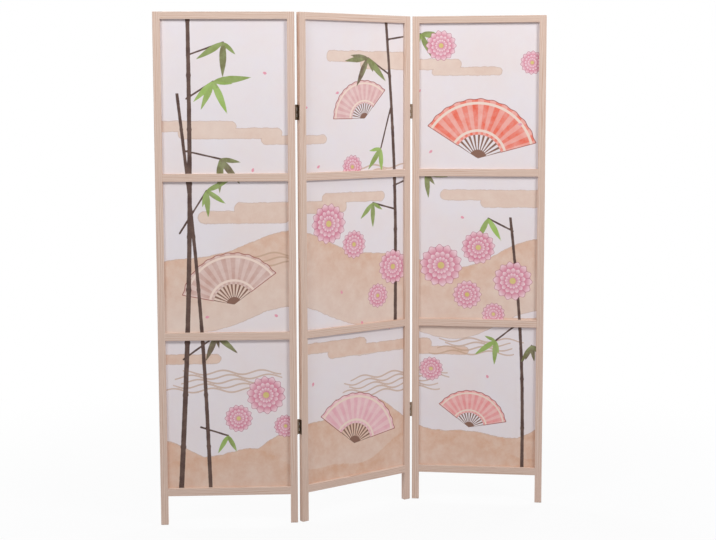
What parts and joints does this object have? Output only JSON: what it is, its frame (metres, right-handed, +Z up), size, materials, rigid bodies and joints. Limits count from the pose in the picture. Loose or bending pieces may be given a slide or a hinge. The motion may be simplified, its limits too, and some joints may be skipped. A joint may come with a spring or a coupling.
{
  "type": "folding screen",
  "caption": "Free-standing folding screen: slim softwood frames with a printed canvas stretched behind their rails, joined edge to edge by small butt hinges.",
  "frame": {"origin": "on the floor, under the middle of the box round the screen as it stands in the picture", "axes": "+Z up; the printed fronts look towards -Y, and the left panel lies along X"},
  "size_m": [1.3188, 0.2732, 1.7],
  "materials": {
    "softwood": "planed and sanded softwood, pale whitewash, matt",
    "printed_canvas": "printed non-woven canvas, matt, picture on the front, off-white back",
    "bronzed_steel": "pressed steel plated dark bronze",
    "bright_steel": "drawn wire, bright"
  },
  "bodies": {
    "middle_panel": {"left_lower_hinge_middle_leaf": "bronzed_steel", "left_lower_hinge_pin": "bronzed_steel", "left_upper_hinge_middle_leaf": "bronzed_steel", "left_upper_hinge_pin": "bronzed_steel", "middle_panel_bottom_bead": "softwood", "middle_panel_bottom_rail": "softwood", "middle_panel_brads": "bright_steel", "middle_panel_hinge_screws": "bronzed_steel", "middle_panel_left_bead": "softwood", "middle_panel_left_stile": "softwood", "middle_panel_lower_cross_rail": "softwood", "middle_panel_printed_sheet": "printed_canvas", "middle_panel_right_bead": "softwood", "middle_panel_right_stile": "softwood", "middle_panel_top_bead": "softwood", "middle_panel_top_rail": "softwood", "middle_panel_upper_cross_rail": "softwood", "right_lower_hinge_middle_leaf": "bronzed_steel", "right_lower_hinge_pin": "bronzed_steel", "right_upper_hinge_middle_leaf": "bronzed_steel", "right_upper_hinge_pin": "bronzed_steel"},
    "left_panel": {"left_lower_hinge_side_leaf": "bronzed_steel", "left_panel_bottom_bead": "softwood", "left_panel_bottom_rail": "softwood", "left_panel_brads": "bright_steel", "left_panel_hinge_screws": "bronzed_steel", "left_panel_left_bead": "softwood", "left_panel_left_stile": "softwood", "left_panel_lower_cross_rail": "softwood", "left_panel_printed_sheet": "printed_canvas", "left_panel_right_bead": "softwood", "left_panel_right_stile": "softwood", "left_panel_top_bead": "softwood", "left_panel_top_rail": "softwood", "left_panel_upper_cross_rail": "softwood", "left_upper_hinge_side_leaf": "bronzed_steel"},
    "right_panel": {"right_lower_hinge_side_leaf": "bronzed_steel", "right_panel_bottom_bead": "softwood", "right_panel_bottom_rail": "softwood", "right_panel_brads": "bright_steel", "right_panel_hinge_screws": "bronzed_steel", "right_panel_left_bead": "softwood", "right_panel_left_stile": "softwood", "right_panel_lower_cross_rail": "softwood", "right_panel_printed_sheet": "printed_canvas", "right_panel_right_bead": "softwood", "right_panel_right_stile": "softwood", "right_panel_top_bead": "softwood", "right_panel_top_rail": "softwood", "right_panel_upper_cross_rail": "softwood", "right_upper_hinge_side_leaf": "bronzed_steel"}
  },
  "joints": [
    {"name": "left_fold", "type": "hinge", "parent": "middle_panel", "child": "left_panel", "pos_m": [-0.19839, -0.11706, 0], "axis": [0, 0, 1], "range_deg": [-147, 43]},
    {"name": "right_fold", "type": "hinge", "parent": "middle_panel", "child": "right_panel", "pos_m": [0.20219, 0.11805, 0], "axis": [0, 0, 1], "range_deg": [-137, 53]}
  ]
}
